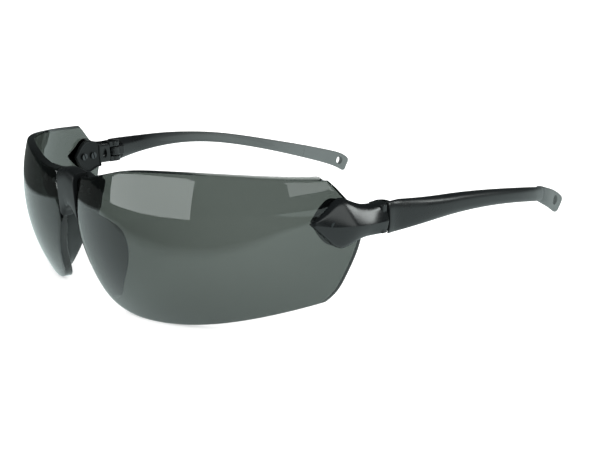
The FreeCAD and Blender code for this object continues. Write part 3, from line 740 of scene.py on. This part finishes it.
def wear_group():
    """Handling wear: raised edges and patches go paler and duller, and a little dust lies in large clouds."""
    tree, entry, leave = group(
        "handling_wear",
        [("Color", "NodeSocketColor", (0.01, 0.01, 0.01, 1)), ("Worn", "NodeSocketColor", (0.1, 0.1, 0.1, 1)),
         ("Amount", "NodeSocketFloat", 0.3), ("Smooth", "NodeSocketFloat", 0.3),
         ("Rough", "NodeSocketFloat", 0.5)],
        [("Color", "NodeSocketColor"), ("Roughness", "NodeSocketFloat")])
    place = own_place(tree)
    clouds = noise(tree, place, Scale=140.0, Detail=6.0, Roughness=0.6).outputs["Fac"]
    rubbed = noise(tree, place, Scale=900.0, Detail=5.0, Roughness=0.7).outputs["Fac"]
    edge = span(tree, node(tree, "ShaderNodeNewGeometry").outputs["Pointiness"], 0.53, 0.62, 0.0, 1.0)
    dust = span(tree, clouds, 0.45, 0.8, 0.0, 0.35)
    either = maths(tree, "ADD", maths(tree, "MULTIPLY", edge, rubbed), dust)
    amount = maths(tree, "MULTIPLY", either, entry.outputs["Amount"], clamp=True)
    shade = blend_colours(tree, amount, entry.outputs["Color"], entry.outputs["Worn"])
    blend = span(tree, clouds, 0.35, 0.75, 0.0, 1.0)
    rough = node(tree, "ShaderNodeMix",
                 [("Factor", blend), ("A", entry.outputs["Smooth"]), ("B", entry.outputs["Rough"])])
    feed(tree, leave, Color=shade, Roughness=rough.outputs["Result"])
    return tree


def polish_group():
    """Wiping marks on a polished sheet: noise stretched along the lens, as roughness and a faint height."""
    tree, entry, leave = group(
        "wiping_marks", [("Least", "NodeSocketFloat", 0.0), ("Most", "NodeSocketFloat", 0.06)],
        [("Roughness", "NodeSocketFloat"), ("Height", "NodeSocketFloat")])
    place = own_place(tree)
    mapped = node(tree, "ShaderNodeMapping", [("Vector", place)], Scale=(25.0, 25.0, 800.0),
                  Rotation=(0.12, 0.1, 0.0))
    streaks = noise(tree, mapped.outputs["Vector"], Scale=1.0, Detail=1.0).outputs["Fac"]
    smears = noise(tree, place, Scale=90.0, Detail=4.0, Distortion=0.6).outputs["Fac"]
    level = node(tree, "ShaderNodeMapRange", [
        ("Value", maths(tree, "MULTIPLY", streaks, smears)), ("To Min", entry.outputs["Least"]),
        ("To Max", entry.outputs["Most"])], From_Min=0.16, From_Max=0.42)
    feed(tree, leave, Roughness=level.outputs["Result"], Height=streaks)
    return tree


def placed(tree, name, make, **values):
    """A shared node group in a material, with its own values. The group is made when it is first asked for."""
    return node(tree, "ShaderNodeGroup", node_tree=bpy.data.node_groups.get(name) or make(), **values)


def material(name):
    """An empty material with its surface shader; returns the material, its tree and the shader."""
    made = bpy.data.materials.new(name)
    made.use_nodes = True
    return made, made.node_tree, made.node_tree.nodes["Principled BSDF"]


def blend_colours(tree, factor, first, second):
    """A mix of two colours, each given as three numbers or as a socket."""
    made = node(tree, "ShaderNodeMix", [("Factor", factor)], data_type="RGBA")
    for socket, shade in zip((made.inputs[6], made.inputs[7]), (first, second)):
        if isinstance(shade, bpy.types.NodeSocket):
            tree.links.new(shade, socket)
        else:
            socket.default_value = (*shade, 1)
    return made.outputs[2]


def worn_skin(name, base, worn, roughness, wear, grain, fineness, depth):
    """A material whose colour and roughness come from handling wear and whose normal comes from grain;
    returns it, its tree, its shader and its wear node."""
    made, tree, shader = material(name)
    rubbed = placed(tree, "handling_wear", wear_group, Color=(*base, 1), Worn=(*worn, 1), Amount=wear,
                    Smooth=roughness[0], Rough=roughness[1])
    fine = placed(tree, "moulded_grain", grain_group, Fineness=fineness)
    bump = node(tree, "ShaderNodeBump", [("Height", fine.outputs["Height"])], Strength=grain, Distance=depth)
    feed(tree, shader, Base_Color=rubbed.outputs["Color"], Roughness=rubbed.outputs["Roughness"],
         Normal=bump.outputs["Normal"])
    return made, tree, shader, rubbed


def plastic(name, base, worn, roughness, wear, grain, fineness=6000.0, shine=0.5, fade=None):
    """Moulded plastic with grain and wear. Roughness is that of smooth and of rubbed places. Fade is the outer
    face's colour at the back, the inner face's colours at the front and the back, and the y of the front and
    the back."""
    found = bpy.data.materials.get(name)
    if found:
        return found
    made, tree, shader, rubbed = worn_skin(name, base, worn, roughness, wear, grain, fineness, 0.00004)
    if fade:
        outside, inside, front, back = fade
        duller = 0.1
        own = node(tree, "ShaderNodeTexCoord")
        place = node(tree, "ShaderNodeSeparateXYZ", [("Vector", own.outputs["Object"])]).outputs
        facing = node(tree, "ShaderNodeSeparateXYZ", [("Vector", own.outputs["Normal"])]).outputs
        inward = maths(tree, "MULTIPLY", facing["X"], maths(tree, "SIGN", place["X"]))
        far_back = span(tree, place["Y"], front, back, 0.0, 1.0)
        outer, inner = (blend_colours(tree, far_back, *ends) for ends in ((base, outside), inside))
        both = blend_colours(tree, span(tree, inward, -0.1, -0.7, 0.0, 1.0), outer, inner)
        smooth, rough = roughness
        feed(tree, rubbed, Color=both, Smooth=span(tree, place["Y"], front, back, smooth, rough),
             Rough=span(tree, place["Y"], front, back, smooth + duller, rough + duller))
    preset(shader, IOR=1.5, Specular_IOR_Level=shine)
    return made


def lens_material():
    """Tinted polycarbonate: clear polished skin with wiping marks over a grey body that darkens with depth."""
    finish = settings().finish
    made, tree, shader = material("tinted_polycarbonate")
    marks = placed(tree, "wiping_marks", polish_group, Least=0.0, Most=0.045)
    bump = node(tree, "ShaderNodeBump", [("Height", marks.outputs["Height"])], Strength=0.3, Distance=0.00002)
    feed(tree, shader, Roughness=marks.outputs["Roughness"], Normal=bump.outputs["Normal"])
    preset(shader, Base_Color=(1, 1, 1, 1), Transmission_Weight=1.0, IOR=finish.lens_ior)
    body = node(tree, "ShaderNodeVolumeAbsorption", Color=(*finish.tint, 1), Density=finish.tint_density)
    feed(tree, tree.nodes["Material Output"], Volume=body.outputs["Volume"])
    return made


def pad_material():
    """Smoky soft pad: satin skin that lets some light through."""
    made = plastic("smoky_pad", settings().finish.pad, (0.03, 0.036, 0.036), (0.34, 0.5), 0.2, 0.1, 4000.0, 0.3)
    preset(made.node_tree.nodes["Principled BSDF"], Transmission_Weight=0.15, IOR=1.43)
    return made


def black_material():
    """Polished black nylon of the endpieces."""
    finish = settings().finish
    return plastic("gloss_black_nylon", finish.black, (0.02, 0.023, 0.023), (finish.gloss, finish.gloss + 0.05),
                   0.15, 0.02)


def bridge_material():
    """Satin black nylon of the bridge and the clamp plates."""
    return plastic("satin_black_nylon", settings().finish.black, (0.015, 0.018, 0.018), (0.27, 0.38), 0.3, 0.15,
                   3500.0, 0.25)


def arm_material():
    """Black nylon that turns from gloss to satin towards the rear, and paler inside."""
    finish = settings().finish
    return plastic("arm_nylon", finish.black, (0.04, 0.05, 0.05), (finish.gloss + 0.08, finish.satin_roughness),
                   0.15, 0.08, shine=0.55, fade=(finish.satin, (finish.black, finish.inside), -0.016, 0.06))


def inlay_material():
    """Soft inlay that starts as dark as the arm."""
    finish = settings().finish
    return plastic("soft_inlay", finish.satin, (0.12, 0.14, 0.14), (0.5, 0.65), 0.2, 0.35, 2500.0,
                   fade=(finish.inlay, (finish.satin, finish.inlay), -0.020, 0.030))


def tip_material():
    """Soft tip that starts in the arm's shades."""
    finish = settings().finish
    return plastic("soft_tip", finish.satin, (0.18, 0.2, 0.2), (0.42, 0.6), 0.3, 0.3, 2500.0,
                   fade=(finish.tip, (finish.inside, finish.tip), 0.060, 0.076))


def steel_material():
    """Blackened steel with fine turned scratches."""
    made, _, shader, _ = worn_skin("blackened_steel", settings().finish.steel, (0.2, 0.2, 0.21), (0.3, 0.45),
                                   0.4, 0.1, 9000.0, 0.00003)
    preset(shader, Metallic=1.0)
    return made


# Operators


class GLASSES_OT_lenses(bpy.types.Operator):
    """Both tinted lenses"""

    bl_idname = "safety_glasses.lenses"
    bl_label = "Lenses"

    def execute(self, context):
        pair("tinted_lens", "lens", lens_shells, lens_material())
        return {"FINISHED"}


class GLASSES_OT_bridge(bpy.types.Operator):
    """The centre bridge with its two wings"""

    bl_idname = "safety_glasses.bridge"
    bl_label = "Bridge"

    def execute(self, context):
        build("bridge_saddle", bridge_shells(), bridge_material(), "front", "bridge")
        return {"FINISHED"}


class GLASSES_OT_nose_pads(bpy.types.Operator):
    """Both nose pads"""

    bl_idname = "safety_glasses.nose_pads"
    bl_label = "Nose pads"

    def execute(self, context):
        pair("nose_blade", "nose_pad", pad_shells, pad_material())
        return {"FINISHED"}


class GLASSES_OT_endpieces(bpy.types.Operator):
    """Both endpieces with their hinge knuckles"""

    bl_idname = "safety_glasses.endpieces"
    bl_label = "Endpieces"

    def execute(self, context):
        pair("endpiece_diamond", "endpiece", endpiece_shells, black_material())
        return {"FINISHED"}


class GLASSES_OT_clamps(bpy.types.Operator):
    """Both clamp plates behind the lenses"""

    bl_idname = "safety_glasses.clamps"
    bl_label = "Clamp plates"

    def execute(self, context):
        pair("clamp_cover", "clamp_plate", clamp_shells, bridge_material())
        return {"FINISHED"}


class GLASSES_OT_arms(bpy.types.Operator):
    """Both temple arms with their hinge leaves"""

    bl_idname = "safety_glasses.arms"
    bl_label = "Temple arms"

    def execute(self, context):
        pair("arm_shell", "temple_arm", arm_shells, arm_material(), swings=True)
        return {"FINISHED"}


class GLASSES_OT_inlays(bpy.types.Operator):
    """Both soft inlays on the arms"""

    bl_idname = "safety_glasses.inlays"
    bl_label = "Inlays"

    def execute(self, context):
        pair("inlay_strip", "temple_grip", inlay_shells, inlay_material(), swings=True)
        return {"FINISHED"}


class GLASSES_OT_tips(bpy.types.Operator):
    """Both soft tips with their cord holes"""

    bl_idname = "safety_glasses.tips"
    bl_label = "Temple tips"

    def execute(self, context):
        sizes = settings().hinge
        shares = np.linspace(0, 1, 400)
        run = travelled(spline(np.array(TEMPLE) * MM, shares))
        at = np.interp(run[-1] - sizes.cord_hole_back, run, shares)
        centre, _, _, _, inward = temple_line([at])
        tips = pair("tip_boot", "temple_tip", tip_shells, tip_material(), swings=True)
        for tip, (_, side) in zip(tips, SIDES):
            drill(tip, centre[0] * (side, 1, 1), inward[0] * (side, 1, 1), sizes.cord_hole)
        return {"FINISHED"}


def drill(piece, place, along, radius):
    """Cuts a round hole right through a piece, and leaves the result as its mesh."""
    reach = 5 * MM
    angles = turn(48)[:, None]
    side = unit(np.cross(UP, along))
    ring = (np.cos(angles) * side + np.sin(angles) * np.cross(along, side)) * radius
    points, quads, fans = skin(np.array([place + along * depth + ring for depth in (-reach, 0, reach)]))
    mesh = bpy.data.meshes.new("hole_cutter")
    mesh.from_pydata(points.tolist(), [], quads.tolist() + fans.tolist())
    cutter = linked("hole_cutter", mesh)
    cut = piece.modifiers.new("Hole", "BOOLEAN")
    cut.operation, cut.solver, cut.object = "DIFFERENCE", "EXACT", cutter
    bpy.context.view_layer.update()
    result = bpy.data.meshes.new_from_object(piece.evaluated_get(bpy.context.evaluated_depsgraph_get()))
    piece.modifiers.clear()
    piece.data = result
    smoothed(result)
    bpy.data.objects.remove(cutter)


class GLASSES_OT_fasteners(bpy.types.Operator):
    """Steel on the hinge screws, clamp screws and rivets"""

    bl_idname = "safety_glasses.fasteners"
    bl_label = "Fasteners"

    def execute(self, context):
        steel = steel_material()
        for kind in ("hinge_screw", "clamp_screws", "bridge_rivets"):
            for name, _ in SIDES:
                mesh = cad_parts[f"{kind}_{name}"].data
                mesh.materials.clear()
                mesh.materials.append(steel)
        return {"FINISHED"}


def mirrored(tree):
    """One for a ray that a surface has reflected, and nought for one that came through glass."""
    path = node(tree, "ShaderNodeLightPath").outputs
    return maths(tree, "SUBTRACT", path["Is Glossy Ray"], path["Is Transmission Ray"], clamp=True)


def mix_surface(tree, factor, first, second, output="Material Output"):
    """Sends a mix of two shaders to the output of a material or of the world."""
    mixed = tree.nodes.new("ShaderNodeMixShader")
    for socket, source in zip(mixed.inputs, (factor, first.outputs[0], second.outputs[0])):
        tree.links.new(source, socket)
    feed(tree, tree.nodes[output], Surface=mixed.outputs[0])


def softbox(name, azimuth, elevation, distance, wide, tall, watts):
    """An area light that stands off the glasses in a direction, and faces them."""
    target = Vector((0.04, -0.06, 0.03))
    data = bpy.data.lights.new(name, "AREA")
    data.shape, data.size, data.size_y, data.energy = "RECTANGLE", wide, tall, watts
    data.color = (0.94, 1.0, 0.985)
    lamp = linked(name, data)
    a, e = math.radians(azimuth), math.radians(elevation)
    away = Vector((math.sin(a) * math.cos(e), -math.cos(a) * math.cos(e), math.sin(e)))
    lamp.location = target + away * distance
    lamp.rotation_euler = (-away).to_track_quat("-Z", "Y").to_euler()
    lamp.visible_camera = False


def add_camera(scene, studio):
    """A camera from its place, heading, height angle and roll."""
    a, e, roll = studio.azimuth, studio.elevation, studio.roll
    right = Vector((math.cos(a), math.sin(a), 0))
    ahead = Vector((-math.sin(a) * math.cos(e), math.cos(a) * math.cos(e), -math.sin(e)))
    above = right.cross(ahead)
    rolled = math.cos(roll) * right + math.sin(roll) * above
    upright = -math.sin(roll) * right + math.cos(roll) * above
    data = bpy.data.cameras.new("camera")
    data.lens, data.sensor_width = studio.focal, 36.0
    data.clip_start, data.clip_end = 0.01, 50.0
    camera = linked("camera", data)
    turned = Matrix((rolled, upright, -ahead)).transposed().to_4x4()
    camera.matrix_world = Matrix.Translation(Vector(studio.eye)) @ turned
    scene.camera = camera


def add_floor():
    """A wide pale floor that glows a little, and looks even in a reflection."""
    half, drop = 30.0, 0.00005
    mesh = bpy.data.meshes.new("floor")
    corners = [(-half, -half, 0), (half, -half, 0), (half, half, 0), (-half, half, 0)]
    mesh.from_pydata(corners, [], [(0, 1, 2, 3)])
    floor = linked("floor", mesh)
    floor.location.z = -drop
    pale, tree, shader = material("pale_floor")
    preset(shader, Base_Color=(0.9, 0.9, 0.9, 1), Roughness=0.9, Specular_IOR_Level=0.1,
           Emission_Color=(1, 1, 1, 1), Emission_Strength=0.42)
    dim = node(tree, "ShaderNodeEmission", Color=(0.86, 1.0, 0.99, 1), Strength=0.95)
    mix_surface(tree, mirrored(tree), shader, dim)
    mesh.materials.append(pale)


def add_card():
    """A dark card that lies in front of the glasses, where only reflections find it. Its inner edge is soft:
    it goes from clear to solid over a narrow strip, and then runs far out."""
    strip, reach, height = 0.035, 29.0, 0.0004
    edge, away = np.array(CARD_EDGE), np.array(CARD_AWAY)
    rows = np.concatenate([edge, edge + away * strip, edge + away * reach])
    count = len(edge)
    first = (np.arange(2)[:, None] * count + np.arange(count - 1)).ravel()
    quads = np.stack([first, first + 1, first + count + 1, first + count], -1)
    mesh = bpy.data.meshes.new("reflection_card")
    mesh.from_pydata(np.column_stack([rows, np.full(len(rows), height)]).tolist(), [], quads.tolist())
    solid_at = mesh.attributes.new("solid", "FLOAT", "POINT")
    solid_at.data.foreach_set("value", np.repeat([0.0, 1.0, 1.0], count))
    card = linked("reflection_card", mesh)
    dark, tree, shader = material("dark_card")
    tree.nodes.remove(shader)
    solid = node(tree, "ShaderNodeAttribute", attribute_name="solid").outputs["Fac"]
    glow = node(tree, "ShaderNodeEmission", Color=(0.12, 0.135, 0.13, 1), Strength=1.0)
    mix_surface(tree, solid, node(tree, "ShaderNodeBsdfTransparent"), glow)
    mesh.materials.append(dark)
    for ray in ("camera", "diffuse", "transmission", "volume_scatter", "shadow"):
        setattr(card, f"visible_{ray}", False)


def add_sky(scene, studio):
    """Even white light all round, which reflections see as a dark room that is a little paler above."""
    world = bpy.data.worlds.new("soft_light")
    scene.world = world
    world.use_nodes = True
    tree = world.node_tree
    even = tree.nodes["Background"]
    preset(even, Color=(1, 1, 1, 1), Strength=studio.sky)
    seen = node(tree, "ShaderNodeBackground")
    direction = node(tree, "ShaderNodeTexCoord").outputs["Generated"]
    rise = node(tree, "ShaderNodeSeparateXYZ", [("Vector", direction)]).outputs["Z"]
    ramp = node(tree, "ShaderNodeValToRGB", [("Fac", span(tree, rise, -0.1, 1.0, 0.0, 1.0))])
    low, high = ramp.color_ramp.elements
    low.color, high.color = (0.03, 0.036, 0.036, 1), (0.09, 0.105, 0.105, 1)
    feed(tree, seen, Color=ramp.outputs["Color"])
    mix_surface(tree, mirrored(tree), even, seen, "World Output")


class GLASSES_OT_stage(bpy.types.Operator):
    """Camera, pale floor, soft light and a dark reflection card"""

    bl_idname = "safety_glasses.stage"
    bl_label = "Stage"

    def execute(self, context):
        studio = settings().studio
        scene = context.scene
        scene.view_settings.view_transform = "Standard"
        add_camera(scene, studio)
        add_floor()
        add_card()
        add_sky(scene, studio)
        softbox("softbox_front", -13.0, 10.0, 0.62, 0.68, 0.27, studio.front_box)
        softbox("softbox_side", 91.0, 18.5, 0.60, 0.34, 0.19, studio.side_box)
        softbox("softbox_rear", 126.0, 22.5, 0.60, 0.20, 0.075, studio.back_box)
        return {"FINISHED"}


class GLASSES_PT_panel(bpy.types.Panel):
    """The pieces, in the order they are made"""

    bl_idname = "GLASSES_PT_panel"
    bl_label = "Safety glasses"
    bl_space_type = "VIEW_3D"
    bl_region_type = "UI"
    bl_category = "Glasses"

    def draw(self, context):
        for operator in OPERATORS:
            self.layout.operator(operator.bl_idname)


OPERATORS = (
    GLASSES_OT_stage, GLASSES_OT_lenses, GLASSES_OT_bridge, GLASSES_OT_nose_pads, GLASSES_OT_endpieces,
    GLASSES_OT_clamps, GLASSES_OT_arms, GLASSES_OT_inlays, GLASSES_OT_tips, GLASSES_OT_fasteners,
)
GROUPS = (LensSizes, HingeSizes, Finishes, Studio, SafetyGlasses)


def register():
    for kind in GROUPS + OPERATORS + (GLASSES_PT_panel,):
        bpy.utils.register_class(kind)
    bpy.types.Scene.safety_glasses = bpy.props.PointerProperty(
        name="Safety glasses", description="Sizes and finishes", type=SafetyGlasses)


def unregister():
    del bpy.types.Scene.safety_glasses
    for kind in reversed(GROUPS + OPERATORS + (GLASSES_PT_panel,)):
        bpy.utils.unregister_class(kind)


def main():
    register()
    for operator in OPERATORS:
        space, name = operator.bl_idname.split(".")
        getattr(getattr(bpy.ops, space), name)()


if __name__ == "__main__":
    main()
